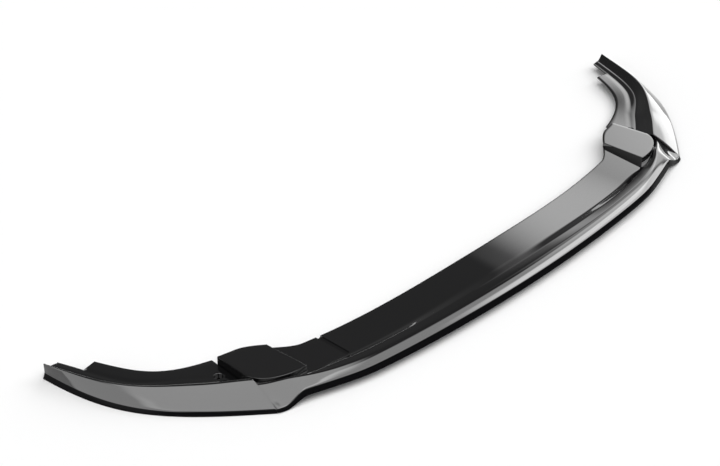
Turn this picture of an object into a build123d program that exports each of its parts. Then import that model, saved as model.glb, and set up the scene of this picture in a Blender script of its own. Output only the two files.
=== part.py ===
"""Front splitter lip of a road car: a centre splitter and two corner wings that lap onto its ends."""

import math
import os

from build123d import *

# X runs across the car, -Y is the front of the car, Z is up, and all sizes are in millimetres.
# The origin is below the middle of the lip, on the ground that the wings rest on.

# Moulded sheet and the joint between the mouldings
sheet = 3.0
seam_gap = 0.25
lap_gap = 0.1
fold_round = 4.0
ridge_round = 6.0
roll_flats = 2
bend_share = 0.46

# Front edge of the centre splitter in plan: a shallow bow that sweeps back toward the ends
front_middle = -242.2
nose_bow = 55.05
sweep = 0.2
sweep_start = 445.0
sweep_blend = 40.0
end_reach = 9.0
end_reach_start = 555.0
end_reach_end = 625.0

# Lower edge of the centre splitter, which dips to the wings at its ends
nose_lift = 16.0
end_lift = 2.0
dip_start = 566.0
dip_end = 616.0
nose_edge = 11.8
end_edge = 8.0
edge_rake = 0.6

# Sloped front band, the land behind it and the riser down to the plate
band_run = 25.0
band_sweep = 40.0
band_sweep_start = 490.0
band_sweep_span = 130.0
band_crown = 1.5
band_end_crown = -3.0
crest_height = 40.0
crest_end_height = 31.0
crest_fall_start = 560.0
crest_fall_end = 630.0
land_run = 20.0
land_end_run = 7.0
land_rise = 1.0
land_taper_start = 470.0
land_taper_end = 560.0
riser_run = 19.0
riser_end_run = 8.0
riser_taper_start = 440.0
riser_taper_end = 530.0

# Plate and its rear edge
plate_height = 39.0
plate_end_height = 25.0
plate_fall_start = 20.0
plate_fall_end = 430.0
rear_middle = -100.0
rear_bow = 77.4
rear_step = 50.0
rear_step_start = 465.0
rear_step_end = 575.0

# Raised pad at each end of the plate
pad_inner = 524.0
pad_front = -127.0
pad_front_sag = 10.0
pad_front_end = -69.0
pad_level = 37.0
pad_level_at = -97.0
pad_pitch = 0.05
pad_round = 2.5

# Stiffening channel pressed into the left half of the plate
channel_across = 430.0
channel_front = -140.0
channel_radius = 5.5
channel_depth = 4.5

# Wings in plan: front edge, ridge and rear edge, from the seam to the tip
seam_front = (630.0, -157.0)
wing_front_pull = (806.0, -9.0)
wing_front_turn = (850.0, 62.0)
tip_front = (862.0, 242.0)
seam_ridge = (623.5, -83.0)
wing_ridge_turn = (806.0, 70.0)
tip_ridge = (858.0, 241.5)
seam_rear = (613.0, 40.0)
wing_rear_pull = (735.0, 78.0)
wing_rear_turn = (746.0, 119.0)
tip_rear = (795.0, 239.0)
ridge_jog = 7.0
ridge_jog_end = 0.25

# Wings in section
wing_edge = 8.0
wing_tip_edge = 13.0
wing_rake = 0.4
ridge_height = 40.0
ridge_mid_fall = 3.0
ridge_tip_fall = 1.0
face_crown = 2.0
face_seam_crown = 4.0
slope_run = 46.0
riser_wing_run = 13.0
ledge_run = 9.0
groove_half = 9.0
groove_depth = 6.0
floor_sag = 0.4
floor_height = 14.0
flange_height = 21.0

# Notch in the rear corner of each wing
notch_front = 193.0
notch_depth = 32.0
notch_slant = 17.0
notch_rake = 5.0
notch_round = 6.0

# Screw well that holds each wing to the tab of the centre splitter
well_out = 22.944
well_back = -7.0
well_radius = 9.0
well_drop = 6.0
screw_hole = 6.6
tab_margin = 18.0
tab_width = 50.0


def smooth(start, end, value):
    """A step from 0 to 1 with level ends."""
    part = min(max((value - start) / (end - start), 0.0), 1.0)
    return part * part * (3 - 2 * part)


def ramp(value, blend):
    """Zero for negative values, the value itself for positive ones, with a rounded corner."""
    return (value + math.hypot(value, blend)) / 2


def bezier(points, part):
    """A point of the curve that the control points describe."""
    while len(points) > 1:
        points = [
            (a[0] + (b[0] - a[0]) * part, a[1] + (b[1] - a[1]) * part)
            for a, b in zip(points, points[1:])
        ]
    return points[0]


def front_y(x):
    swept = nose_bow * (x / seam_front[0]) ** 2 + sweep * ramp(x - sweep_start, sweep_blend)
    return front_middle + swept - end_reach * smooth(end_reach_start, end_reach_end, x)


def rear_y(x):
    swept = rear_bow * (x / seam_front[0]) ** 2 + rear_step * smooth(rear_step_start, rear_step_end, x)
    return rear_middle + swept


def plate_z(x):
    fall = plate_height - plate_end_height
    return plate_height - fall * smooth(plate_fall_start, plate_fall_end, x)


def centre_folds(x):
    """Corners of the upper side of the centre splitter at one distance from the middle."""
    dip = smooth(dip_start, dip_end, x)
    low = nose_lift - (nose_lift - end_lift) * dip
    rise = nose_edge - (nose_edge - end_edge) * dip
    edge = low + rise
    lean = rise * edge_rake
    sweep_part = max(x - band_sweep_start, 0.0) / band_sweep_span
    band = band_run + band_sweep * sweep_part**2
    fall = smooth(crest_fall_start, crest_fall_end, x)
    crest = crest_height + (crest_end_height - crest_height) * fall
    crown = band_crown + (band_end_crown - band_crown) * fall
    land = land_run - (land_run - land_end_run) * smooth(land_taper_start, land_taper_end, x)
    taper = smooth(riser_taper_start, riser_taper_end, x)
    run = riser_run - (riser_run - riser_end_run) * taper
    y = front_y(x)
    return [
        (y, low),
        (y + lean, edge),
        (y + (lean + band) / 2, (edge + crest) / 2 + crown),
        (y + band, crest),
        (y + band + land, crest + land_rise),
        (y + band + land + run, plate_z(x)),
        (rear_y(x), plate_z(x)),
    ]


centre_rounds = [fold_round, band_run, fold_round, ridge_round, ridge_round]

front_curve = [seam_front, wing_front_pull, wing_front_turn, tip_front]
ridge_curve = [seam_ridge, wing_ridge_turn, wing_ridge_turn, tip_ridge]
rear_curve = [seam_rear, wing_rear_pull, wing_rear_turn, tip_rear]


def wing_plan(part):
    """Ridge point, direction toward the rear edge, and the distances to both edges."""
    front = bezier(front_curve, part)
    rear = bezier(rear_curve, part)
    across = (rear[0] - front[0], rear[1] - front[1])
    length = math.hypot(*across)
    across = (across[0] / length, across[1] / length)
    low, high = 0.0, 1.0
    for _ in range(40):
        middle = (low + high) / 2
        point = bezier(ridge_curve, middle)
        side = (point[0] - front[0]) * across[1] - (point[1] - front[1]) * across[0]
        if side < 0:
            low = middle
        else:
            high = middle
    point = bezier(ridge_curve, low)
    back = (point[0] - front[0]) * across[0] + (point[1] - front[1]) * across[1]
    jog = min(part / ridge_jog_end, 1.0)
    back -= ridge_jog * 4 * jog * (1 - jog)
    ridge = (front[0] + across[0] * back, front[1] + across[1] * back)
    return ridge, across, back, length - back


def wing_folds(part):
    """Corners of the upper side of a wing, measured from the ridge toward the rear edge."""
    back, width = wing_plan(part)[2:]
    edge = wing_edge + (wing_tip_edge - wing_edge) * part
    lean = edge * wing_rake
    ridge = ridge_height - ridge_mid_fall * smooth(0, 0.25, part) - ridge_tip_fall * smooth(0.6, 1, part)
    crown = face_seam_crown + (face_crown - face_seam_crown) * smooth(0, 0.35, part)
    flat = smooth(0, 0.4, part)
    start = slope_run + (riser_wing_run - slope_run) * flat
    floor = floor_height + (flange_height - floor_height) * smooth(0.15, 0.5, part)
    groove = floor_sag + (groove_depth - floor_sag) * smooth(0.25, 0.5, part)
    ledge = start + ledge_run
    return [
        (-back, 0.0),
        (lean - back, edge),
        ((lean - back) / 2, (edge + ridge) / 2 + crown),
        (0.0, ridge),
        (start, floor),
        (ledge, floor),
        (ledge + groove_half, floor - groove),
        (ledge + 2 * groove_half, floor),
        (width, floor),
    ]


wing_rounds = [fold_round, slope_run, ridge_round, ridge_round, fold_round, ridge_round, fold_round]


def under(corners, depth):
    """The corners of a line at one depth below the upper side of the sheet."""
    normals = []
    for a, b in zip(corners, corners[1:]):
        length = math.dist(a, b)
        normals.append(((b[1] - a[1]) / length, (a[0] - b[0]) / length))
    normals = [normals[0]] + normals + [normals[-1]]
    lower = []
    for corner, n, m in zip(corners, normals, normals[1:]):
        reach = depth / (1 + n[0] * m[0] + n[1] * m[1])
        lower.append((corner[0] + (n[0] + m[0]) * reach, corner[1] + (n[1] + m[1]) * reach))
    lower[0] = (corners[0][0] + depth / normals[0][0], corners[0][1])
    return lower


def fold_points(corners, rounds):
    """Points of a folded line, with each bend made of short flats."""
    points = [corners[0]]
    for before, corner, after, reach in zip(corners, corners[1:], corners[2:], rounds):
        ahead = min(reach / math.dist(corner, before), bend_share)
        beyond = min(reach / math.dist(corner, after), bend_share)
        bend = [bezier([corner, before], ahead), corner, bezier([corner, after], beyond)]
        points += [bezier(bend, flat / roll_flats) for flat in range(roll_flats + 1)]
    return points + [corners[-1]]


def section_face(points):
    """A filled section with straight sides."""
    with BuildSketch() as section:
        with BuildLine():
            Polyline(*points, close=True)
        make_face()
    return section.sketch


def sheet_section(corners, rounds):
    """The section of the sheet below a folded line."""
    return section_face(fold_points(corners, rounds) + under(corners, sheet)[::-1])


def wing_plane(part):
    ridge, across = wing_plan(part)[:2]
    normal = (across[1], -across[0], 0)
    return Plane(origin=(*ridge, 0), x_dir=(*across, 0), z_dir=normal)


seam_slope = (seam_rear[0] - seam_front[0]) / (seam_rear[1] - seam_front[1])
seam_normal = (1.0, -seam_slope, 0.0)


def seam_x(y, inset):
    """Where the seam, moved inward, crosses one distance from the front."""
    return seam_front[0] + seam_slope * (y - seam_front[1]) - inset * math.hypot(1, seam_slope)


# Hollow and block of the raised pad
pad_back = rear_y(pad_inner)
pad_end = rear_y(seam_x(seam_rear[1], 0))
pad_plane = Plane(origin=(0, pad_level_at, pad_level), z_dir=(0, pad_pitch, 1))


def pad_outline(inset, rear):
    """The pad in plan, with its sides moved inward and its rear edge moved backward."""
    inner = (pad_inner + inset, pad_front + inset)
    front_end = pad_front_end + inset
    outer = (seam_x(front_end, seam_gap + inset), front_end)
    pull = ((inner[0] + outer[0]) / 2, inner[1] + pad_front_sag)
    rear_outer = (seam_x(pad_end + rear, seam_gap + inset), pad_end + rear)
    rear_inner = (pad_inner + inset, pad_back + rear)
    with BuildSketch() as outline:
        with BuildLine():
            Bezier(inner, pull, outer)
            Polyline(outer, rear_outer, rear_inner, inner)
        make_face()
    return outline.sketch


pad_base = plate_end_height - sheet / 2
with BuildPart() as pad_hollow:
    with BuildSketch(Plane.XY.offset(-crest_height)):
        add(pad_outline(sheet, crest_height))
    extrude(amount=3 * crest_height)
    split(bisect_by=pad_plane.offset(-sheet), keep=Keep.BOTTOM)

with BuildPart() as pad_block:
    with BuildSketch(Plane.XY.offset(pad_base)):
        add(pad_outline(0, 0))
    extrude(amount=2 * crest_height)
    split(bisect_by=pad_plane, keep=Keep.BOTTOM)
    rim = pad_block.faces().sort_by(Axis.Z)[-1].edges().sort_by(Axis.Y)
    fillet(rim[:-1], pad_round)

# Lap tab below the floor of the wing, with the end wall that carries it
well_across = seam_x(well_back, 0) + well_out
well_bottom = floor_height - well_drop - sheet
tab_top = well_bottom - lap_gap
tab_low = tab_top - sheet
wall_front = pad_front_end + 2 * fold_round
with BuildPart() as lap_tab:
    with BuildSketch(Plane.XY.offset(tab_low)):
        with BuildLine():
            Polyline(
                (seam_x(wall_front, seam_gap + 2 * sheet), wall_front),
                (seam_x(wall_front, seam_gap), wall_front),
                (seam_x(pad_end, seam_gap), pad_end),
                (seam_x(pad_end, seam_gap + 2 * sheet), pad_end),
                close=True,
            )
        make_face()
    extrude(amount=pad_base + sheet - tab_low)
    with BuildSketch(Plane.XY.offset(tab_low)):
        wall_x = seam_x(well_back, seam_gap + sheet)
        tab_reach = well_across + tab_margin
        with Locations(((wall_x + tab_reach) / 2, well_back)):
            Rectangle(tab_reach - wall_x, tab_width)
    extrude(amount=sheet)
    with Locations((well_across, well_back, tab_low)):
        Cylinder(screw_hole / 2, 3 * sheet, mode=Mode.SUBTRACT)

# Channel with a round front end: its groove, and the trough of sheet below it
channel_floor = plate_z(channel_across) - channel_depth
channel_run = rear_y(channel_across) - channel_front


def channel_outline(radius, run):
    """A slot in plan, round at the front."""
    with BuildSketch() as outline:
        with Locations((-channel_across, channel_front)):
            Circle(radius)
            Rectangle(2 * radius, run, align=(Align.CENTER, Align.MIN))
    return outline.sketch


with BuildPart() as groove:
    with BuildSketch(Plane.XY.offset(channel_floor)):
        add(channel_outline(channel_radius, 2 * channel_run))
    extrude(amount=crest_height)

with BuildPart() as trough:
    with BuildSketch(Plane.XY.offset(channel_floor - sheet)):
        add(channel_outline(channel_radius + sheet, channel_run))
    extrude(amount=channel_depth + sheet / 2)

# Centre splitter
loft_end = seam_front[0] + 4 * sheet
steps = 12
with BuildPart() as centre_splitter:
    for step in range(-steps, steps + 1):
        along = 1 - (1 - abs(step) / steps) ** 1.7
        x = math.copysign(loft_end * along, step)
        with BuildSketch(Plane(origin=(x, 0, 0), x_dir=(0, 1, 0), z_dir=(1, 0, 0))):
            add(sheet_section(centre_folds(abs(x)), centre_rounds))
    loft()
    for side in (1, -1):
        end = Plane(
            origin=(side * seam_x(0, seam_gap), 0, 0),
            z_dir=(side * seam_normal[0], seam_normal[1], 0),
        )
        split(bisect_by=end, keep=Keep.BOTTOM)
    for piece in (pad_block, lap_tab):
        add(piece.part)
        mirror(piece.part, about=Plane.YZ)
    add(pad_hollow.part, mode=Mode.SUBTRACT)
    mirror(pad_hollow.part, about=Plane.YZ, mode=Mode.SUBTRACT)
    add(trough.part)
    add(groove.part, mode=Mode.SUBTRACT)

# Wing, built on the right and mirrored for the left
wing_steps = 11
web_part = 0.006
with BuildPart() as right_wing:
    for step in range(wing_steps + 1):
        part = (step / wing_steps) ** 1.2
        with BuildSketch(wing_plane(part)):
            add(sheet_section(wing_folds(part), wing_rounds))
    loft()
    for first, last in ((0, web_part), (1 - web_part, 1)):
        for part in (first, last):
            skin = under(wing_folds(part), sheet / 2)
            start = (skin[0][0], sheet / 2)
            foot = bezier([skin[3], skin[4]], 0.7)
            web = fold_points([start] + skin[1:4] + [foot], wing_rounds[:3])
            with BuildSketch(wing_plane(part)):
                add(section_face(web + [(foot[0], foot[1] / 3)]))
        loft()
    notch_tip = wing_plan(1)
    notch_end = [notch_tip[0][i] + notch_tip[1][i] * notch_depth for i in (0, 1)]
    notch_corner = (notch_end[0] - notch_slant, notch_front + notch_rake)
    with BuildSketch(Plane.XY) as notch:
        with BuildLine():
            Polyline(
                (seam_front[0], notch_front),
                notch_corner,
                (2 * notch_end[0] - notch_corner[0], 2 * notch_end[1] - notch_corner[1]),
                (seam_front[0], 2 * notch_end[1]),
                close=True,
            )
        make_face()
        fillet(notch.vertices().sort_by_distance(notch_corner)[0], notch_round)
    extrude(amount=2 * crest_height, mode=Mode.SUBTRACT)
    with Locations((well_across, well_back, well_bottom)):
        on_base = (Align.CENTER, Align.CENTER, Align.MIN)
        Cylinder(well_radius + sheet, well_drop + sheet / 2, align=on_base)
        Cylinder(screw_hole / 2, floor_height, mode=Mode.SUBTRACT)
    with Locations((well_across, well_back, well_bottom + sheet)):
        Cylinder(well_radius, floor_height, align=on_base, mode=Mode.SUBTRACT)

with BuildPart() as left_wing:
    mirror(right_wing.part, about=Plane.YZ)

os.makedirs("parts", exist_ok=True)
for name, piece in (
    ("centre_splitter", centre_splitter),
    ("right_wing", right_wing),
    ("left_wing", left_wing),
):
    piece.part.label = name
    export_step(piece.part, f"parts/{name}.step")
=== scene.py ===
import math

import bmesh
import bpy
from bpy.props import FloatProperty, FloatVectorProperty, PointerProperty
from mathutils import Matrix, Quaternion, Vector


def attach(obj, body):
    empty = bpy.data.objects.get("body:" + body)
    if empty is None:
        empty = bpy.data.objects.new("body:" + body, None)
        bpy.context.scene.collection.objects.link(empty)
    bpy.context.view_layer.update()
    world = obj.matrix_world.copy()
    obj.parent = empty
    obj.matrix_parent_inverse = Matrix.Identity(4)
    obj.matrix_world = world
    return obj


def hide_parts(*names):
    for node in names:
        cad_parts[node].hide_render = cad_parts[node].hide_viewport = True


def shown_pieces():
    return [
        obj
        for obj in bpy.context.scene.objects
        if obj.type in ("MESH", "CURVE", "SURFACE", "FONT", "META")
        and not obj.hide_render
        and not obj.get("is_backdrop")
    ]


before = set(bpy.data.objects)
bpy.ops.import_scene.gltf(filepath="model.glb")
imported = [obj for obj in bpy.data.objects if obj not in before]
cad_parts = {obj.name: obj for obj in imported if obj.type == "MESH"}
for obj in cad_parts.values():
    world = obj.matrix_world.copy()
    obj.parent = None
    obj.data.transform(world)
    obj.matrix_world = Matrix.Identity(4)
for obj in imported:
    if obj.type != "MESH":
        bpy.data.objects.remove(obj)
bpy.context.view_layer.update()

bl_info = {
    "name": "Front splitter lip",
    "version": (1, 0, 0),
    "blender": (4, 5, 0),
    "location": "3D View > Sidebar > Splitter lip",
    "description": "Smooth gloss mouldings, a studio and a camera for a front splitter lip",
    "category": "Object",
}

# Front edge of the centre splitter in plan
FRONT_MIDDLE = -0.2422
NOSE_BOW = 0.05505
SWEEP = 0.2
SWEEP_START = 0.445
SWEEP_BLEND = 0.04
END_REACH = 0.009
END_REACH_START = 0.555
END_REACH_END = 0.625

# Lower edge of the centre splitter, which dips to the wings at its ends
DIP_START = 0.566
DIP_END = 0.616
END_LIFT = 0.002
END_EDGE = 0.008
EDGE_RAKE = 0.6

# Front band, land and riser
BAND_SWEEP = 0.040
BAND_SWEEP_START = 0.490
BAND_SWEEP_SPAN = 0.130
CREST_FALL_START = 0.560
CREST_FALL_END = 0.630
LAND_END_RUN = 0.007
LAND_TAPER_START = 0.470
LAND_TAPER_END = 0.560
LAND_RISE = 0.0006
LAND_FALL = 0.003
LAND_FALL_START = 0.100
LAND_FALL_END = 0.350
RISER_END_RUN = 0.008
RISER_TAPER_START = 0.440
RISER_TAPER_END = 0.530

# Plate and its rear edge
PLATE_FALL_START = 0.020
PLATE_FALL_END = 0.430
REAR_MIDDLE = -0.100
REAR_BOW = 0.0774
REAR_STEP = 0.050
REAR_STEP_START = 0.465
REAR_STEP_END = 0.575

# Raised pads at the ends of the plate
PAD_INNER = 0.524
PAD_OUTER = 0.622
PAD_FRONT = -0.127
PAD_FRONT_END = -0.060
PAD_LEVEL_AT = -0.097
PAD_PITCH = 0.05
PAD_ROUND = 0.0006
PAD_WALL_LEAN = 0.0006
END_WALL_FRONT = -0.080

# Channel pressed into the left half of the plate
CHANNEL_ACROSS = -0.430
CHANNEL_FRONT = -0.140
CHANNEL_RADIUS = 0.0055

# Wings in plan, from the seam to the tip
FRONT_CURVE = ((0.630, -0.157), (0.806, -0.009), (0.850, 0.062), (0.862, 0.242))
RIDGE_CURVE = ((0.6235, -0.083), (0.806, 0.070), (0.806, 0.070), (0.858, 0.2415))
REAR_CURVE = ((0.613, 0.040), (0.735, 0.078), (0.746, 0.119), (0.795, 0.239))
WING_REACH = 3 * math.dist(FRONT_CURVE[0], FRONT_CURVE[1])
RIDGE_JOG = 0.002
RIDGE_JOG_END = 0.25
RIDGE_HALVINGS = 40

# Wings in section; starts and ends are parts of the way from the seam to the tip
WING_RAKE = 0.4
RIDGE_MID_FALL = 0.003
RIDGE_MID_FALL_END = 0.25
RIDGE_TIP_FALL = 0.001
RIDGE_TIP_FALL_START = 0.6
FACE_CROWN = 0.002
FACE_SEAM_CROWN = 0.004
FACE_SEAM_CROWN_END = 0.35
SLOPE_RUN = 0.038
SLOPE_END = 0.6
INNER_RISER_RUN = 0.013
LEDGE_RUN = 0.009
GROOVE_HALF = 0.009
GROOVE_DEPTH = 0.0018
GROOVE_START = 0.25
GROOVE_END = 0.5
FLOOR_SAG = 0.0004
FLOOR_RISE_START = 0.05
FLOOR_RISE_END = 0.95
NOTCH_FRONT = 0.193
NOTCH_DEPTH = 0.032
CORNER_ROOM = 0.0004
WING_ROWS = 150
WING_ROW_CROWDING = 1.15

# Screw wells and the lap tabs below them
WELL_PLACE = (0.640, -0.007)
WELL_RADIUS = 0.009
WELL_DROP = 0.006
SCREW_RADIUS = 0.0033
WELL_FLARE = 0.0012
TAB_REACH = 0.658
TAB_WIDTH = 0.050
WEB_PART = 0.006
WEB_INSET = 0.0002
WEB_FOOT = 0.7
FLARE_STEPS = 5
TURN_STEPS = 48
SMOOTH_ANGLE = 40

# Seam between the centre splitter and a wing
SEAM_GAP = 0.00025
LAP_GAP = 0.0001
SEAM_SLOPE = (REAR_CURVE[0][0] - FRONT_CURVE[0][0]) / (REAR_CURVE[0][1] - FRONT_CURVE[0][1])
SEAM_ROUND = ((0.0, 0.0012), (0.0003, 0.0006), (0.0008, 0.0002), (0.0016, 0.0))
SKEW_START = 0.545
SKEW_END = 0.600
SKEW_ROUNDS = 4

# Rows of the centre splitter, closer toward the ends, at the pad walls and in the channel
ROW_STEP = 0.008
ROW_COUNT = 54
END_ROW_START = 0.440
END_ROW_STEP = 0.003
END_ROW_COUNT = 27
PAD_ROW_STEP = 0.0025
PAD_ROW_COUNT = 39
PAD_WALL_ROWS = (0.0006, 0.0002)
QUARTER_STEPS = 6
CHANNEL_ROOM = 0.001

# Rounding of the folds: reach from the corner, and points along the bend and the flat after it
RIM = (0.0007, 2, 2)
NOSE = (0.004, 6, 2)
CROWN = (0.1, 8, 2)
FOLD = (0.004, 5, 2)
LAND_FOLD = (0.002, 4, 2)
RIDGE = (0.006, 6, 2)
FOOT = (0.006, 6, 14)
PAD_FOOT = (0.001, 3, 2)
PAD_RIM = (0.001, 4, 18)
FLOOR_FOLD = (0.004, 5, 3)
BEND_SHARE = 0.46
TINY = 1e-9

# Vertex mask of the edges that are left bare
BARE_MASK = "bare_edge"

# Sprayed gloss and the dust on it: scales of the patterns, ranges that they are read over, and amounts
PEEL_FINE_SCALE = 420
PEEL_BROAD_SCALE = 70
PEEL_FINE_SHARE = 0.35
PEEL_STRENGTH = 0.05
PEEL_DISTANCE = 0.0003
HANDLED_SCALE = 9
HANDLED_RANGE = (0.35, 0.7)
DUST_COLOUR = (0.05, 0.048, 0.045, 1)
DUST_SCALE = 900
DUST_RANGE = (0.5, 0.8)
DUST_MOST = 0.06
DUST_LEVEL_START = 0.55
BARE_RANGE = (0.3, 0.8)

# Camera of the photograph
CAMERA_PLACE = (-2.6458, -2.2756, 2.2952)
CAMERA_AZIMUTH = math.radians(-46.54)
CAMERA_ELEVATION = math.radians(33)
CAMERA_LENS = 100
SENSOR_WIDTH = 36

# Floor, how square the soft panels are, and the share of their brightness that lights matt surfaces
FLOOR_REACH = 12
PANEL_SQUARENESS = 4
FLOOR_COLOUR = (0.92, 0.92, 0.92, 1)
PLAIN_LEVEL = 0.7


def length_property(name, description, default):
    return FloatProperty(name=name, description=description, default=default, unit="LENGTH", precision=4)


class LipSizes(bpy.types.PropertyGroup):
    """Driving sizes of the mouldings."""

    sheet: length_property("Sheet", "Thickness of the moulded sheet", 0.003)
    nose_lift: length_property("Nose lift", "Height of the lower edge at the middle of the car", 0.016)
    nose_edge: length_property("Nose edge", "Height of the raked front edge", 0.0118)
    band_run: length_property("Band", "Depth of the sloped front band in plan", 0.025)
    band_crown: length_property("Band crown", "How far the front band bulges at the middle", 0.0015)
    band_end_crown: length_property("Band end crown", "How far it bulges at the seams", -0.003)
    crest_height: length_property("Crest", "Height of the crest at the middle", 0.040)
    crest_end: length_property("Crest end", "Height of the crest at the seams", 0.031)
    land_run: length_property("Land", "Depth of the flat land behind the crest", 0.020)
    riser_run: length_property("Riser", "Depth of the riser down to the plate", 0.019)
    plate_height: length_property("Plate", "Height of the plate at the middle", 0.039)
    plate_end: length_property("Plate end", "Height of the plate toward the ends", 0.025)
    pad_level: length_property("Pad", "Height of the end pads", 0.037)
    wing_edge: length_property("Wing edge", "Height of the raked edge of a wing at the seam", 0.008)
    wing_tip_edge: length_property("Tip edge", "Height of the raked edge of a wing at the tip", 0.013)
    ridge_height: length_property("Ridge", "Height of the ridge of a wing at the seam", 0.040)
    floor_height: length_property("Floor", "Height of the wing floor at the seam", 0.014)
    flange_height: length_property("Flange", "Height of the wing flange toward the tip", 0.021)


class LipFinish(bpy.types.PropertyGroup):
    """Colour and gloss of the mouldings."""

    colour: FloatVectorProperty(
        name="Colour",
        description="Colour of the moulded plastic",
        subtype="COLOR",
        default=(0.004, 0.004, 0.0044),
    )
    polished: FloatProperty(name="Polished", description="Roughness where clean", default=0.06, min=0, max=1)
    handled: FloatProperty(name="Handled", description="Roughness where handled", default=0.13, min=0, max=1)


class LipStudio(bpy.types.PropertyGroup):
    """Brightness of the soft panels of the studio."""

    overhead: FloatProperty(name="Overhead", description="Panel above the lip", default=2.7, min=0)
    fore: FloatProperty(name="Fore", description="Panel above the front right", default=2.0, min=0)
    side: FloatProperty(name="Side", description="Broad panel at the right", default=1.5, min=0)
    strip: FloatProperty(name="Strip", description="Slanted strip at the front right", default=4.0, min=0)
    low: FloatProperty(name="Low", description="Low panel behind the right end", default=2.3, min=0)
    wing: FloatProperty(name="Wing", description="Small panel beyond the right wing", default=1.3, min=0)
    left: FloatProperty(name="Left", description="Tall panel beyond the left end", default=1.9, min=0)
    room: FloatProperty(name="Room", description="Rest of the room", default=0.12, min=0)


def smooth(start, end, value):
    """A step from 0 to 1 with level ends."""
    part = min(max((value - start) / (end - start), 0.0), 1.0)
    return part * part * (3 - 2 * part)


def ramp(value, blend):
    """Zero for negative values, the value itself for positive ones, with a rounded corner."""
    return (value + math.hypot(value, blend)) / 2


def between(a, b, part):
    return tuple(p + (q - p) * part for p, q in zip(a, b))


def bezier(points, part):
    """A point of the curve that the control points describe."""
    while len(points) > 1:
        points = [between(a, b, part) for a, b in zip(points, points[1:])]
    return points[0]


def round_drop(distance):
    """How far a rounded pad edge lies below the pad top, near the edge."""
    inside = max(PAD_ROUND - distance, 0.0)
    return PAD_ROUND - math.sqrt(max(PAD_ROUND**2 - inside**2, 0.0))


def under(corners, depth):
    """Corners at one depth below the upper side of a sheet, in the plane of its section."""
    normals = []
    for a, b in zip(corners, corners[1:]):
        length = math.dist(a, b)
        normals.append(((b[1] - a[1]) / length, (a[0] - b[0]) / length))
    normals = [normals[0]] + normals + [normals[-1]]
    lower = []
    for corner, n, m in zip(corners, normals, normals[1:]):
        reach = depth / (1 + n[0] * m[0] + n[1] * m[1])
        lower.append((corner[0] + (n[0] + m[0]) * reach, corner[1] + (n[1] + m[1]) * reach))
    lower[0] = (corners[0][0] + depth / normals[0][0], corners[0][1])
    return lower


def folded_loop(corners, folds):
    """Points of a closed outline whose corners are rounded."""
    points = []
    count = len(corners)
    for i, (corner, (reach, bend, flat)) in enumerate(zip(corners, folds)):
        before = corners[i - 1]
        after = corners[(i + 1) % count]
        ahead = min(reach / max(math.dist(corner, before), TINY), BEND_SHARE)
        beyond = min(reach / max(math.dist(corner, after), TINY), BEND_SHARE)
        first = between(corner, before, ahead)
        last = between(corner, after, beyond)
        points += [bezier([first, corner, last], k / bend) for k in range(bend + 1)]
        following = folds[(i + 1) % count][0]
        stop = min(following / max(math.dist(corner, after), TINY), BEND_SHARE)
        end = between(after, corner, stop)
        points += [between(last, end, k / flat) for k in range(1, flat)]
    return points


def bare_points(folds):
    """One number a point of a folded loop: 1 on the raked lower edge, which is left bare, and 0 above it."""
    bare = []
    for i, (_, bend, flat) in enumerate(folds):
        if i == 1:
            bare += [1.0 if k < bend / 2 else 0.0 for k in range(bend + 1)] + [0.0] * (flat - 1)
        else:
            bare += [1.0 if i == 0 else 0.0] * (bend + flat)
    return bare


def tube(rows):
    """A closed shell through rows of outline points, with a flat cap at each end."""
    width = len(rows[0])
    points = [point for row in rows for point in row]
    faces = []
    for r in range(len(rows) - 1):
        for c in range(width):
            d = (c + 1) % width
            faces.append((r * width + c, r * width + d, (r + 1) * width + d, (r + 1) * width + c))
    last = (len(rows) - 1) * width
    faces.append(tuple(range(width - 1, -1, -1)))
    faces.append(tuple(range(last, last + width)))
    return points, faces


def lathe(place, profile, closed):
    """A shell turned about an upright axis: a closed profile makes a ring, an open one ends on the axis."""
    points = []
    for k in range(TURN_STEPS):
        angle = math.tau * k / TURN_STEPS
        points += [(place[0] + r * math.cos(angle), place[1] + r * math.sin(angle), z) for r, z in profile]
    count = len(profile)
    faces = []
    for k in range(TURN_STEPS):
        a = k * count
        b = (k + 1) % TURN_STEPS * count
        for i in range(count if closed else count - 1):
            j = (i + 1) % count
            faces.append((a + i, b + i, b + j, a + j))
    if not closed:
        faces.append(tuple(k * count for k in range(TURN_STEPS - 1, -1, -1)))
        faces.append(tuple(k * count + count - 1 for k in range(TURN_STEPS)))
    return points, faces


def drilled_plate(place, radius, box, low, high):
    """A rectangular plate with a round hole."""
    x0, y0, x1, y1 = (box[0] - place[0], box[1] - place[1], box[2] - place[0], box[3] - place[1])
    angles = [math.tau * k / TURN_STEPS for k in range(TURN_STEPS)]
    angles += [math.atan2(y, x) % math.tau for x in (x0, x1) for y in (y0, y1)]
    points = []
    for angle in sorted(angles):
        c, s = math.cos(angle), math.sin(angle)
        reach_x = (x1 if c > 0 else x0) / c if abs(c) > TINY else math.inf
        reach_y = (y1 if s > 0 else y0) / s if abs(s) > TINY else math.inf
        reach = min(reach_x, reach_y)
        for r, z in ((radius, high), (radius, low), (reach, low), (reach, high)):
            points.append((place[0] + r * c, place[1] + r * s, z))
    faces = []
    for k in range(len(angles)):
        a = 4 * k
        b = 4 * ((k + 1) % len(angles))
        for i in range(4):
            j = (i + 1) % 4
            faces.append((a + i, a + j, b + j, b + i))
    return points, faces


def shell_mesh(name, shells, bare=(0.0,)):
    """One mesh made of closed shells, each with its faces outward; bare is repeated along the points."""
    form = bmesh.new()
    mask = form.verts.layers.float.new(BARE_MASK)
    for points, faces in shells:
        corners = [form.verts.new(point) for point in points]
        for i, corner in enumerate(corners):
            corner[mask] = bare[i % len(bare)]
        made = [form.faces.new([corners[i] for i in face]) for face in faces]
        bmesh.ops.recalc_face_normals(form, faces=made)
    mesh = bpy.data.meshes.new(name)
    form.to_mesh(mesh)
    form.free()
    return mesh


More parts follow.
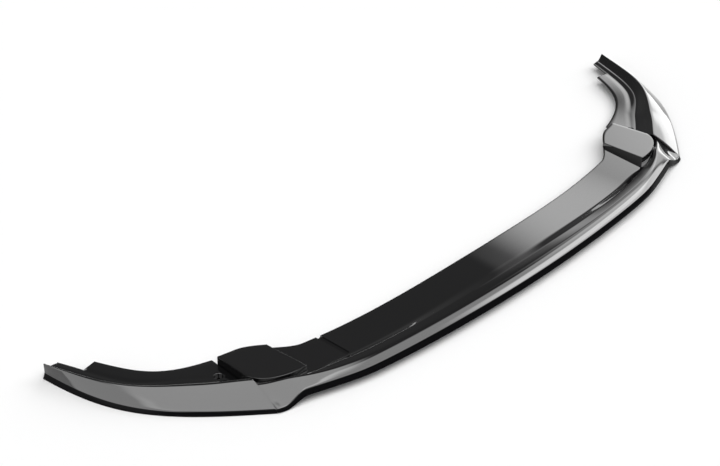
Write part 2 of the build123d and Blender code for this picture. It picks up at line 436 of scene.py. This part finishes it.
def join_meshes(name, meshes, mirrored):
    """One mesh of several, mirrored from the right of the car to the left if asked."""
    form = bmesh.new()
    for mesh in meshes:
        form.from_mesh(mesh)
    if mirrored:
        bmesh.ops.scale(form, vec=(-1, 1, 1), verts=form.verts)
        bmesh.ops.reverse_faces(form, faces=form.faces)
    joined = bpy.data.meshes.new(name)
    form.to_mesh(joined)
    form.free()
    return joined


def cut_mesh(mesh, cutter):
    """The mesh with the space of the cutter taken out of it."""
    collection = bpy.context.scene.collection
    body = bpy.data.objects.new("body", mesh)
    tool = bpy.data.objects.new("tool", cutter)
    collection.objects.link(body)
    collection.objects.link(tool)
    modifier = body.modifiers.new("cut", "BOOLEAN")
    modifier.operation = "DIFFERENCE"
    modifier.solver = "EXACT"
    modifier.object = tool
    graph = bpy.context.evaluated_depsgraph_get()
    cut = bpy.data.meshes.new_from_object(body.evaluated_get(graph))
    bpy.data.objects.remove(body)
    bpy.data.objects.remove(tool)
    return cut


# Centre splitter
def front_y(x):
    swept = NOSE_BOW * (x / FRONT_CURVE[0][0]) ** 2 + SWEEP * ramp(x - SWEEP_START, SWEEP_BLEND)
    return FRONT_MIDDLE + swept - END_REACH * smooth(END_REACH_START, END_REACH_END, x)


def rear_y(x):
    swept = REAR_BOW * (x / FRONT_CURVE[0][0]) ** 2 + REAR_STEP * smooth(REAR_STEP_START, REAR_STEP_END, x)
    return REAR_MIDDLE + swept


def pad_front_y(x):
    """Front side of an end pad in plan: a quarter of an ellipse that turns into the seam."""
    part = min(max((x - PAD_INNER) / (PAD_OUTER - PAD_INNER), 0.0), 1.0)
    return PAD_FRONT_END + (PAD_FRONT - PAD_FRONT_END) * math.sqrt(1 - part * part)


def centre_corners(x, sizes):
    """Corners of the upper side of the centre splitter at one distance from the middle."""
    dip = smooth(DIP_START, DIP_END, x)
    low = sizes.nose_lift + (END_LIFT - sizes.nose_lift) * dip
    rise = sizes.nose_edge + (END_EDGE - sizes.nose_edge) * dip
    edge = low + rise
    lean = rise * EDGE_RAKE
    band = sizes.band_run + BAND_SWEEP * (max(x - BAND_SWEEP_START, 0.0) / BAND_SWEEP_SPAN) ** 2
    fall = smooth(CREST_FALL_START, CREST_FALL_END, x)
    crest = sizes.crest_height + (sizes.crest_end - sizes.crest_height) * fall
    crown = sizes.band_crown + (sizes.band_end_crown - sizes.band_crown) * fall
    taper = smooth(LAND_TAPER_START, LAND_TAPER_END, x)
    land = sizes.land_run + (LAND_END_RUN - sizes.land_run) * taper
    taper = smooth(RISER_TAPER_START, RISER_TAPER_END, x)
    run = sizes.riser_run + (RISER_END_RUN - sizes.riser_run) * taper
    fall = smooth(PLATE_FALL_START, PLATE_FALL_END, x)
    plate = sizes.plate_height + (sizes.plate_end - sizes.plate_height) * fall
    y = front_y(x)
    rear = rear_y(x)
    land_rise = LAND_RISE - (LAND_RISE + LAND_FALL) * smooth(LAND_FALL_START, LAND_FALL_END, x)
    land_end = (y + band + land, crest + land_rise)
    foot = (land_end[0] + run, plate)
    if x < PAD_INNER:
        inner_foot = front_y(PAD_INNER) + sizes.band_run + sizes.land_run
        share = (PAD_FRONT - inner_foot) / (rear_y(PAD_INNER) - inner_foot)
        pad_y = foot[0] + (rear - foot[0]) * share
        pad_z = [plate, plate]
    else:
        pad_y = pad_front_y(x)
        drop = round_drop(x - PAD_INNER)
        pad_z = [sizes.pad_level - PAD_PITCH * (at - PAD_LEVEL_AT) - drop for at in (pad_y, rear)]
    if pad_y < foot[0] + PAD_WALL_LEAN:
        foot = between(land_end, foot, (pad_y - PAD_WALL_LEAN - land_end[0]) / run)
    return [
        (y, low),
        (y + lean, edge),
        (y + (lean + band) / 2, (edge + crest) / 2 + crown),
        (y + band, crest),
        land_end,
        foot,
        (pad_y, foot[1]),
        (pad_y + PAD_WALL_LEAN, pad_z[0]),
        (rear, pad_z[1]),
    ]


CENTRE_FOLDS = [RIM, NOSE, CROWN, FOLD, LAND_FOLD, FOOT, PAD_FOOT, PAD_RIM, RIM]


def seam_drop(distance):
    """How far the rounded edge at a seam lies below the surface."""
    for (near, deep), (far, shallow) in zip(SEAM_ROUND, SEAM_ROUND[1:]):
        if distance <= far:
            return deep + (shallow - deep) * (distance - near) / (far - near)
    return 0.0


def centre_row(across, sizes):
    """Outline of one row of the centre splitter: rows lie along the seam near the ends."""
    x = abs(across)
    skew = smooth(SKEW_START, SKEW_END, x)
    distance = (FRONT_CURVE[0][0] - SEAM_GAP - x) / math.hypot(1, SEAM_SLOPE)
    count = len(CENTRE_FOLDS)
    places = [x] * count
    for _ in range(SKEW_ROUNDS):
        corners = [centre_corners(places[k], sizes)[k] for k in range(count)]
        places = [x + skew * SEAM_SLOPE * (corner[0] - FRONT_CURVE[0][1]) for corner in corners]
    lower = under(corners, sizes.sheet)
    corners = under(corners, seam_drop(distance))
    side = math.copysign(1, across)
    outline = [(side * p, *c) for p, c in zip(places, corners)]
    outline += [(side * p, *c) for p, c in zip(places[::-1], lower[::-1])]
    return folded_loop(outline, CENTRE_FOLDS + CENTRE_FOLDS[::-1])


def pressed(point):
    """A point of the plate, pressed down where the channel runs."""
    x, y, z = point
    aside = abs(x - CHANNEL_ACROSS)
    ahead = max(CHANNEL_FRONT - y, 0.0)
    away = math.hypot(aside, ahead)
    if away >= CHANNEL_RADIUS:
        return point
    return (x, y, z - math.sqrt(CHANNEL_RADIUS**2 - away**2))


def centre_stations():
    """Places of the rows across the car."""
    end = FRONT_CURVE[0][0] - SEAM_GAP
    quarter = [math.cos(math.pi / 2 * k / QUARTER_STEPS) for k in range(2 * QUARTER_STEPS + 1)]
    half = [ROW_STEP * k for k in range(1, ROW_COUNT + 1)]
    half += [END_ROW_START + END_ROW_STEP * k for k in range(1, END_ROW_COUNT + 1)]
    half += [PAD_INNER - away for away in PAD_WALL_ROWS]
    half += [PAD_INNER + PAD_ROUND * (1 - turn) for turn in quarter[:QUARTER_STEPS + 1]]
    half += [PAD_INNER + PAD_ROUND + PAD_ROW_STEP * k for k in range(1, PAD_ROW_COUNT + 1)]
    half += [end - away for away, _ in SEAM_ROUND]
    channel = [CHANNEL_ACROSS - CHANNEL_RADIUS * turn for turn in quarter]
    left = [-x for x in half if abs(x + CHANNEL_ACROSS) > CHANNEL_RADIUS + CHANNEL_ROOM]
    return sorted(left + channel + [0.0] + half)


def seam_x(y, inset):
    """Where the seam, moved inward, crosses one distance from the front."""
    return FRONT_CURVE[0][0] + SEAM_SLOPE * (y - FRONT_CURVE[0][1]) - inset * math.hypot(1, SEAM_SLOPE)


def end_wall(sizes):
    """The wall below the outer end of the plate and of its pad."""
    back = rear_y(seam_x(REAR_CURVE[0][1], 0))
    low = sizes.floor_height - WELL_DROP - 2 * sizes.sheet - LAP_GAP
    step = pad_front_y(seam_x(PAD_FRONT_END, SEAM_GAP + WEB_INSET)) + PAD_WALL_LEAN
    places = [(END_WALL_FRONT, sizes.plate_end), (step, sizes.plate_end)]
    for y in (step + PAD_WALL_LEAN, back):
        places.append((y, sizes.pad_level - PAD_PITCH * (y - PAD_LEVEL_AT) - PAD_ROUND))
    rows = []
    for y, height in places:
        top = height - sizes.sheet / 2
        outer = seam_x(y, SEAM_GAP + WEB_INSET)
        inner = seam_x(y, SEAM_GAP + 2 * sizes.sheet)
        rows.append([(inner, y, low), (outer, y, low), (outer, y, top), (inner, y, top)])
    return tube(rows)


def lap_tab(sizes):
    """The tab that reaches below a wing and takes its screw."""
    high = sizes.floor_height - WELL_DROP - sizes.sheet - LAP_GAP
    inner = seam_x(WELL_PLACE[1], SEAM_GAP + sizes.sheet)
    half = TAB_WIDTH / 2
    box = (inner, WELL_PLACE[1] - half, TAB_REACH, WELL_PLACE[1] + half)
    return drilled_plate(WELL_PLACE, SCREW_RADIUS, box, high - sizes.sheet, high)


def assign_smooth(mesh, angle):
    mesh.polygons.foreach_set("use_smooth", [True] * len(mesh.polygons))
    mesh.set_sharp_from_angle(angle=math.radians(angle))


def place_piece(name, mesh, node):
    """Puts a finished mesh in the scene in place of a node of the frame."""
    piece = bpy.data.objects.new(name, mesh)
    bpy.context.scene.collection.objects.link(piece)
    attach(piece, "root")
    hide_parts(node)
    return piece


class LIP_OT_centre(bpy.types.Operator):
    """Models the centre splitter with its crest, plate, end pads and channel"""

    bl_idname = "lip.centre"
    bl_label = "Centre splitter"

    def execute(self, context):
        sizes = context.scene.lip_sizes
        rows = []
        for across in centre_stations():
            row = centre_row(across, sizes)
            if abs(across - CHANNEL_ACROSS) < CHANNEL_RADIUS:
                row = [pressed(point) for point in row]
            rows.append(row)
        sheet = shell_mesh("centre_sheet", [tube(rows)], bare_points(CENTRE_FOLDS + CENTRE_FOLDS[::-1]))
        lap = shell_mesh("lap", [end_wall(sizes), lap_tab(sizes)])
        right = join_meshes("centre_right", [sheet, lap], False)
        mesh = join_meshes("centre_moulding", [right, join_meshes("lap_left", [lap], True)], False)
        assign_smooth(mesh, SMOOTH_ANGLE)
        place_piece("centre_moulding", mesh, "centre_splitter")
        return {"FINISHED"}


# Wings
def wing_plan(part):
    """Ridge point, direction toward the rear edge, and the distances to both edges."""
    front = bezier(FRONT_CURVE, part)
    rear = bezier(REAR_CURVE, part)
    length = math.dist(front, rear)
    across = ((rear[0] - front[0]) / length, (rear[1] - front[1]) / length)
    low, high = 0.0, 1.0
    for _ in range(RIDGE_HALVINGS):
        middle = (low + high) / 2
        point = bezier(RIDGE_CURVE, middle)
        side = (point[0] - front[0]) * across[1] - (point[1] - front[1]) * across[0]
        if side < 0:
            low = middle
        else:
            high = middle
    point = bezier(RIDGE_CURVE, low)
    back = (point[0] - front[0]) * across[0] + (point[1] - front[1]) * across[1]
    jog = min(part / RIDGE_JOG_END, 1.0)
    back -= RIDGE_JOG * (4 * jog * (1 - jog)) ** 2
    ridge = (front[0] + across[0] * back, front[1] + across[1] * back)
    return ridge, across, back, length - back


def wing_corners(part, sizes):
    """Corners of the upper side of a wing, measured from the ridge toward the rear edge."""
    ridge_point, across, back, width = wing_plan(part)
    edge = sizes.wing_edge + (sizes.wing_tip_edge - sizes.wing_edge) * part
    lean = edge * WING_RAKE
    ridge = sizes.ridge_height - RIDGE_MID_FALL * smooth(0, RIDGE_MID_FALL_END, part)
    ridge -= RIDGE_TIP_FALL * smooth(RIDGE_TIP_FALL_START, 1, part)
    crown = FACE_SEAM_CROWN + (FACE_CROWN - FACE_SEAM_CROWN) * smooth(0, FACE_SEAM_CROWN_END, part)
    start = SLOPE_RUN + (INNER_RISER_RUN - SLOPE_RUN) * smooth(0, SLOPE_END, part)
    rise = smooth(FLOOR_RISE_START, FLOOR_RISE_END, part)
    floor = sizes.floor_height + (sizes.flange_height - sizes.floor_height) * rise
    groove = FLOOR_SAG + (GROOVE_DEPTH - FLOOR_SAG) * smooth(GROOVE_START, GROOVE_END, part)
    ledge = start + LEDGE_RUN
    rear_y_here = ridge_point[1] + across[1] * width
    if rear_y_here > NOTCH_FRONT:
        width = min(width, NOTCH_DEPTH)
    corners = [
        (-back, 0.0),
        (lean - back, edge),
        ((lean - back) / 2, (edge + ridge) / 2 + crown),
        (0.0, ridge),
        (start, floor),
        (ledge, floor),
        (ledge + GROOVE_HALF, floor - groove),
        (ledge + 2 * GROOVE_HALF, floor),
        (width, floor),
    ]
    for k in range(len(corners) - 5, len(corners)):
        limit = width - CORNER_ROOM * (len(corners) - 1 - k)
        corners[k] = (min(corners[k][0], limit), corners[k][1])
    return corners


WING_FOLDS = [RIM, NOSE, CROWN, RIDGE, RIDGE, FLOOR_FOLD, RIDGE, FLOOR_FOLD, RIM]


def wing_row(part, sizes):
    corners = wing_corners(part, sizes)
    lower = under(corners, sizes.sheet)
    corners = under(corners, seam_drop(part * WING_REACH))
    outline = corners + lower[::-1]
    ridge, across = wing_plan(part)[:2]
    loop = folded_loop(outline, WING_FOLDS + WING_FOLDS[::-1])
    return [(ridge[0] + across[0] * p[0], ridge[1] + across[1] * p[0], p[1]) for p in loop]


def web_row(part, sizes):
    """Outline of a wall that closes an end of a wing."""
    skin = under(wing_corners(part, sizes), sizes.sheet / 2)
    foot = between(skin[3], skin[4], WEB_FOOT)
    outline = [(skin[0][0], sizes.sheet / 2)] + skin[1:4] + [foot, (foot[0], foot[1] / 3)]
    ridge, across = wing_plan(part)[:2]
    loop = folded_loop(outline, [RIM, NOSE, CROWN, RIDGE, RIM, RIM])
    return [(ridge[0] + across[0] * p[0], ridge[1] + across[1] * p[0], p[1]) for p in loop]


def well_cutter(sizes):
    """The space of a screw well above its bottom, with a rolled rim."""
    top = sizes.floor_height
    profile = [(WELL_RADIUS, top - WELL_DROP), (WELL_RADIUS, top - WELL_FLARE)]
    for k in range(1, FLARE_STEPS + 1):
        turn = math.pi / 2 * k / FLARE_STEPS
        out = WELL_FLARE * (1 - math.cos(turn))
        profile.append((WELL_RADIUS + out, top - WELL_FLARE * (1 - math.sin(turn))))
    profile.append((WELL_RADIUS + WELL_FLARE, top + WELL_DROP))
    return lathe(WELL_PLACE, profile, False)


def well_cup(sizes):
    """The cup below the wing floor that the screw head sits in."""
    bottom = sizes.floor_height - WELL_DROP
    joint = sizes.floor_height - sizes.sheet / 2
    inner = WELL_RADIUS + WEB_INSET
    outer = WELL_RADIUS + sizes.sheet
    profile = [
        (inner, joint),
        (inner, bottom),
        (SCREW_RADIUS, bottom),
        (SCREW_RADIUS, bottom - sizes.sheet),
        (outer, bottom - sizes.sheet),
        (outer, joint),
    ]
    return lathe(WELL_PLACE, profile, True)


def wing_stations():
    """Places of the rows along a wing, closer toward the seam."""
    spaced = [(k / WING_ROWS) ** WING_ROW_CROWDING for k in range(1, WING_ROWS + 1)]
    return sorted(spaced + [away / WING_REACH for away, _ in SEAM_ROUND])


class LIP_OT_wings(bpy.types.Operator):
    """Models both corner wings with their end walls"""

    bl_idname = "lip.wings"
    bl_label = "Corner wings"

    def execute(self, context):
        sizes = context.scene.lip_sizes
        rows = [wing_row(part, sizes) for part in wing_stations()]
        sheet = shell_mesh("wing_sheet", [tube(rows)], bare_points(WING_FOLDS + WING_FOLDS[::-1]))
        sheet = cut_mesh(sheet, shell_mesh("well_cutter", [well_cutter(sizes)]))
        ends = ((WEB_INSET, WEB_PART), (1 - WEB_PART, 1 - WEB_INSET))
        webs = [tube([web_row(part, sizes) for part in end]) for end in ends]
        walls = shell_mesh("wing_walls", webs + [well_cup(sizes)])
        for name, mirrored in (("right_wing", False), ("left_wing", True)):
            mesh = join_meshes(name + "_moulding", [sheet, walls], mirrored)
            assign_smooth(mesh, SMOOTH_ANGLE)
            place_piece(name + "_moulding", mesh, name)
        return {"FINISHED"}


# Finish
def new_group(name, inputs, outputs):
    """A shader node group with its sockets, its input node and its output node."""
    tree = bpy.data.node_groups.new(name, "ShaderNodeTree")
    for label, kind, value in inputs:
        socket = tree.interface.new_socket(label, in_out="INPUT", socket_type=kind)
        socket.default_value = value
    for label, kind in outputs:
        tree.interface.new_socket(label, in_out="OUTPUT", socket_type=kind)
    return tree, tree.nodes.new("NodeGroupInput"), tree.nodes.new("NodeGroupOutput")


def math_node(tree, operation, first, second=None, clamp=False):
    """A math node fed by sockets or numbers."""
    node = tree.nodes.new("ShaderNodeMath")
    node.operation = operation
    node.use_clamp = clamp
    for socket, value in zip(node.inputs, (first, second)):
        if isinstance(value, (int, float)):
            socket.default_value = value
        elif value is not None:
            tree.links.new(value, socket)
    return node.outputs[0]


def noise_node(tree, place, scale, detail):
    node = tree.nodes.new("ShaderNodeTexNoise")
    node.inputs["Scale"].default_value = scale
    node.inputs["Detail"].default_value = detail
    tree.links.new(place, node.inputs["Vector"])
    return node.outputs["Fac"]


def range_node(tree, value, low, high, to_low, to_high):
    node = tree.nodes.new("ShaderNodeMapRange")
    node.interpolation_type = "SMOOTHSTEP"
    for label, given in (
        ("Value", value), ("From Min", low), ("From Max", high), ("To Min", to_low), ("To Max", to_high)
    ):
        if isinstance(given, (int, float)):
            node.inputs[label].default_value = given
        else:
            tree.links.new(given, node.inputs[label])
    return node.outputs["Result"]


def orange_peel_group():
    """Height of the fine waviness that a sprayed gloss keeps."""
    tree, _, ends = new_group("orange_peel", [], [("Height", "NodeSocketFloat")])
    place = tree.nodes.new("ShaderNodeTexCoord").outputs["Object"]
    fine = noise_node(tree, place, PEEL_FINE_SCALE, 1)
    broad = noise_node(tree, place, PEEL_BROAD_SCALE, 1)
    height = math_node(tree, "ADD", math_node(tree, "MULTIPLY", fine, PEEL_FINE_SHARE), broad)
    tree.links.new(height, ends.inputs["Height"])
    return tree


def handled_gloss_group():
    """Roughness that drifts between a polished and a handled value."""
    inputs = [("Polished", "NodeSocketFloat", 0), ("Handled", "NodeSocketFloat", 1)]
    tree, starts, ends = new_group("handled_gloss", inputs, [("Roughness", "NodeSocketFloat")])
    place = tree.nodes.new("ShaderNodeTexCoord").outputs["Object"]
    drift = noise_node(tree, place, HANDLED_SCALE, 4)
    rough = range_node(tree, drift, *HANDLED_RANGE, starts.outputs["Polished"], starts.outputs["Handled"])
    tree.links.new(rough, ends.inputs["Roughness"])
    return tree


def settled_dust_group():
    """Colour of the plastic with a trace of dust on the sides that face up."""
    inputs = [("Plastic", "NodeSocketColor", (0, 0, 0, 1)), ("Dust", "NodeSocketColor", (1, 1, 1, 1))]
    tree, starts, ends = new_group("settled_dust", inputs, [("Color", "NodeSocketColor")])
    place = tree.nodes.new("ShaderNodeTexCoord").outputs["Object"]
    split = tree.nodes.new("ShaderNodeSeparateXYZ")
    tree.links.new(tree.nodes.new("ShaderNodeNewGeometry").outputs["Normal"], split.inputs[0])
    level = range_node(tree, split.outputs["Z"], DUST_LEVEL_START, 1, 0, 1)
    specks = range_node(tree, noise_node(tree, place, DUST_SCALE, 3), *DUST_RANGE, 0, DUST_MOST)
    mix = tree.nodes.new("ShaderNodeMix")
    mix.data_type = "RGBA"
    tree.links.new(math_node(tree, "MULTIPLY", level, specks), mix.inputs["Factor"])
    tree.links.new(starts.outputs["Plastic"], mix.inputs[6])
    tree.links.new(starts.outputs["Dust"], mix.inputs[7])
    tree.links.new(mix.outputs[2], ends.inputs["Color"])
    return tree


def clear_coat_group():
    """Weight of the clear coat: none on the lower edges, which are left bare."""
    tree, _, ends = new_group("clear_coat", [], [("Weight", "NodeSocketFloat")])
    bare = tree.nodes.new("ShaderNodeAttribute")
    bare.attribute_name = BARE_MASK
    weight = range_node(tree, bare.outputs["Fac"], *BARE_RANGE, 1, 0)
    tree.links.new(weight, ends.inputs["Weight"])
    return tree


def group_node(tree, group):
    node = tree.nodes.new("ShaderNodeGroup")
    node.node_tree = group
    return node


def gloss_black(finish):
    """Clear-coated black plastic."""
    material = bpy.data.materials.new("gloss_black")
    material.use_nodes = True
    tree = material.node_tree
    shader = tree.nodes["Principled BSDF"]
    shader.inputs["IOR"].default_value = 1.5
    shader.inputs["Specular IOR Level"].default_value = 0.05
    shader.inputs["Coat IOR"].default_value = 1.8
    shader.inputs["Coat Roughness"].default_value = 0.03
    coat = group_node(tree, clear_coat_group())
    tree.links.new(coat.outputs["Weight"], shader.inputs["Coat Weight"])
    dust = group_node(tree, settled_dust_group())
    dust.inputs["Plastic"].default_value = (*finish.colour, 1)
    dust.inputs["Dust"].default_value = DUST_COLOUR
    tree.links.new(dust.outputs["Color"], shader.inputs["Base Color"])
    gloss = group_node(tree, handled_gloss_group())
    gloss.inputs["Polished"].default_value = finish.polished
    gloss.inputs["Handled"].default_value = finish.handled
    tree.links.new(gloss.outputs["Roughness"], shader.inputs["Roughness"])
    bump = tree.nodes.new("ShaderNodeBump")
    bump.inputs["Strength"].default_value = PEEL_STRENGTH
    bump.inputs["Distance"].default_value = PEEL_DISTANCE
    peel = group_node(tree, orange_peel_group())
    tree.links.new(peel.outputs["Height"], bump.inputs["Height"])
    tree.links.new(bump.outputs["Normal"], shader.inputs["Normal"])
    return material


class LIP_OT_finish(bpy.types.Operator):
    """Gives every moulding its gloss black plastic"""

    bl_idname = "lip.finish"
    bl_label = "Gloss finish"

    def execute(self, context):
        material = gloss_black(context.scene.lip_finish)
        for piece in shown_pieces():
            piece.data.materials.clear()
            piece.data.materials.append(material)
        return {"FINISHED"}


# Stage
def soft_panel_group():
    """Light of a soft rectangular panel far away, seen in one direction."""
    inputs = [
        ("Facing", "NodeSocketVector", (0, 0, 1)),
        ("Right", "NodeSocketVector", (1, 0, 0)),
        ("Up", "NodeSocketVector", (0, 1, 0)),
        ("Half Width", "NodeSocketFloat", 0.5),
        ("Half Height", "NodeSocketFloat", 0.5),
        ("Softness", "NodeSocketFloat", 0.2),
        ("Strength", "NodeSocketFloat", 1),
    ]
    tree, starts, ends = new_group("soft_panel", inputs, [("Light", "NodeSocketFloat")])
    way = tree.nodes.new("ShaderNodeTexCoord").outputs["Generated"]

    def share(label):
        node = tree.nodes.new("ShaderNodeVectorMath")
        node.operation = "DOT_PRODUCT"
        tree.links.new(way, node.inputs[0])
        tree.links.new(starts.outputs[label], node.inputs[1])
        return node.outputs["Value"]

    facing = share("Facing")
    spans = []
    for axis, size in (("Right", "Half Width"), ("Up", "Half Height")):
        angle = math_node(tree, "ARCTAN2", share(axis), facing)
        share_out = math_node(tree, "ABSOLUTE", math_node(tree, "DIVIDE", angle, starts.outputs[size]))
        spans.append(math_node(tree, "POWER", share_out, PANEL_SQUARENESS))
    span = math_node(tree, "POWER", math_node(tree, "ADD", *spans), 1 / PANEL_SQUARENESS)
    inner = math_node(tree, "SUBTRACT", 1, starts.outputs["Softness"])
    outer = math_node(tree, "ADD", 1, starts.outputs["Softness"])
    mask = range_node(tree, span, inner, outer, 1, 0)
    tree.links.new(math_node(tree, "MULTIPLY", mask, starts.outputs["Strength"]), ends.inputs["Light"])
    return tree


def add_panel(tree, group, azimuth, elevation, turn, half_width, half_height, softness, strength):
    """One panel of the studio, placed and turned by angles in degrees; azimuth 0 is +X."""
    a, e = math.radians(azimuth), math.radians(elevation)
    facing = Vector((math.cos(e) * math.cos(a), math.cos(e) * math.sin(a), math.sin(e)))
    right = Quaternion(facing, math.radians(turn)) @ Vector((-math.sin(a), math.cos(a), 0))
    node = group_node(tree, group)
    node.inputs["Facing"].default_value = facing
    node.inputs["Right"].default_value = right
    node.inputs["Up"].default_value = facing.cross(right)
    node.inputs["Half Width"].default_value = math.radians(half_width)
    node.inputs["Half Height"].default_value = math.radians(half_height)
    node.inputs["Softness"].default_value = softness
    node.inputs["Strength"].default_value = strength
    return node.outputs["Light"]


def studio_world(studio):
    """A dim room with soft panels, which shine at full brightness in reflections only."""
    world = bpy.data.worlds.new("studio")
    world.use_nodes = True
    tree = world.node_tree
    group = soft_panel_group()
    # Azimuth, elevation, turn, half width and half height in degrees, softness and brightness
    panels = (
        (-110, 80, 0, 27, 27, 0.2, studio.overhead),
        (-62, 46, 0, 45, 16, 0.13, studio.fore),
        (2, 37, 0, 17, 10, 0.3, studio.side),
        (-23.5, 23.5, -37, 21, 11, 0.22, studio.strip),
        (20, 15, 0, 19, 20, 0.2, studio.low),
        (13, 3, 0, 10, 9, 0.3, studio.wing),
        (178, 28, 0, 28, 34, 0.15, studio.left),
    )
    light = studio.room
    for panel in panels:
        light = math_node(tree, "ADD", add_panel(tree, group, *panel), light)
    mirrored = tree.nodes.new("ShaderNodeLightPath").outputs["Is Glossy Ray"]
    level = range_node(tree, mirrored, 0, 1, PLAIN_LEVEL, 1)
    light = math_node(tree, "MULTIPLY", light, level)
    tree.links.new(light, tree.nodes["Background"].inputs["Strength"])
    tree.nodes["Background"].inputs["Color"].default_value = (1, 1, 1, 1)
    return world


def floor_paper():
    """Pale matt floor."""
    paper = bpy.data.materials.new("floor_paper")
    paper.use_nodes = True
    shader = paper.node_tree.nodes["Principled BSDF"]
    shader.inputs["Base Color"].default_value = FLOOR_COLOUR
    shader.inputs["Roughness"].default_value = 1
    shader.inputs["Specular IOR Level"].default_value = 0
    return paper


class LIP_OT_stage(bpy.types.Operator):
    """Sets up the floor, the light and the camera"""

    bl_idname = "lip.stage"
    bl_label = "Stage"

    def execute(self, context):
        scene = context.scene
        floor_mesh = bpy.data.meshes.new("floor")
        corners = [(x * FLOOR_REACH, y * FLOOR_REACH, 0) for x, y in ((-1, -1), (1, -1), (1, 1), (-1, 1))]
        floor_mesh.from_pydata(corners, [], [(0, 1, 2, 3)])
        floor_mesh.materials.append(floor_paper())
        floor = bpy.data.objects.new("floor", floor_mesh)
        scene.collection.objects.link(floor)
        floor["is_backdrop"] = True
        scene.world = studio_world(scene.lip_studio)
        camera_data = bpy.data.cameras.new("camera")
        camera_data.lens = CAMERA_LENS
        camera_data.sensor_width = SENSOR_WIDTH
        camera = bpy.data.objects.new("camera", camera_data)
        camera.location = CAMERA_PLACE
        camera.rotation_euler = (math.pi / 2 - CAMERA_ELEVATION, 0, CAMERA_AZIMUTH)
        scene.collection.objects.link(camera)
        scene.camera = camera
        scene.view_settings.view_transform = "Standard"
        return {"FINISHED"}


class LIP_PT_panel(bpy.types.Panel):
    """Lists the steps that dress the lip"""

    bl_label = "Splitter lip"
    bl_idname = "LIP_PT_panel"
    bl_space_type = "VIEW_3D"
    bl_region_type = "UI"
    bl_category = "Splitter lip"

    def draw(self, context):
        for operator in OPERATORS:
            self.layout.operator(operator.bl_idname)


OPERATORS = (LIP_OT_centre, LIP_OT_wings, LIP_OT_finish, LIP_OT_stage)
SETTINGS = (LipSizes, LipFinish, LipStudio)


def register():
    for item in SETTINGS + OPERATORS + (LIP_PT_panel,):
        bpy.utils.register_class(item)
    bpy.types.Scene.lip_sizes = PointerProperty(type=LipSizes)
    bpy.types.Scene.lip_finish = PointerProperty(type=LipFinish)
    bpy.types.Scene.lip_studio = PointerProperty(type=LipStudio)


def unregister():
    del bpy.types.Scene.lip_studio
    del bpy.types.Scene.lip_finish
    del bpy.types.Scene.lip_sizes
    for item in (LIP_PT_panel,) + OPERATORS[::-1] + SETTINGS[::-1]:
        bpy.utils.unregister_class(item)


def main():
    register()
    bpy.ops.lip.centre()
    bpy.ops.lip.wings()
    bpy.ops.lip.finish()
    bpy.ops.lip.stage()


if __name__ == "__main__":
    main()
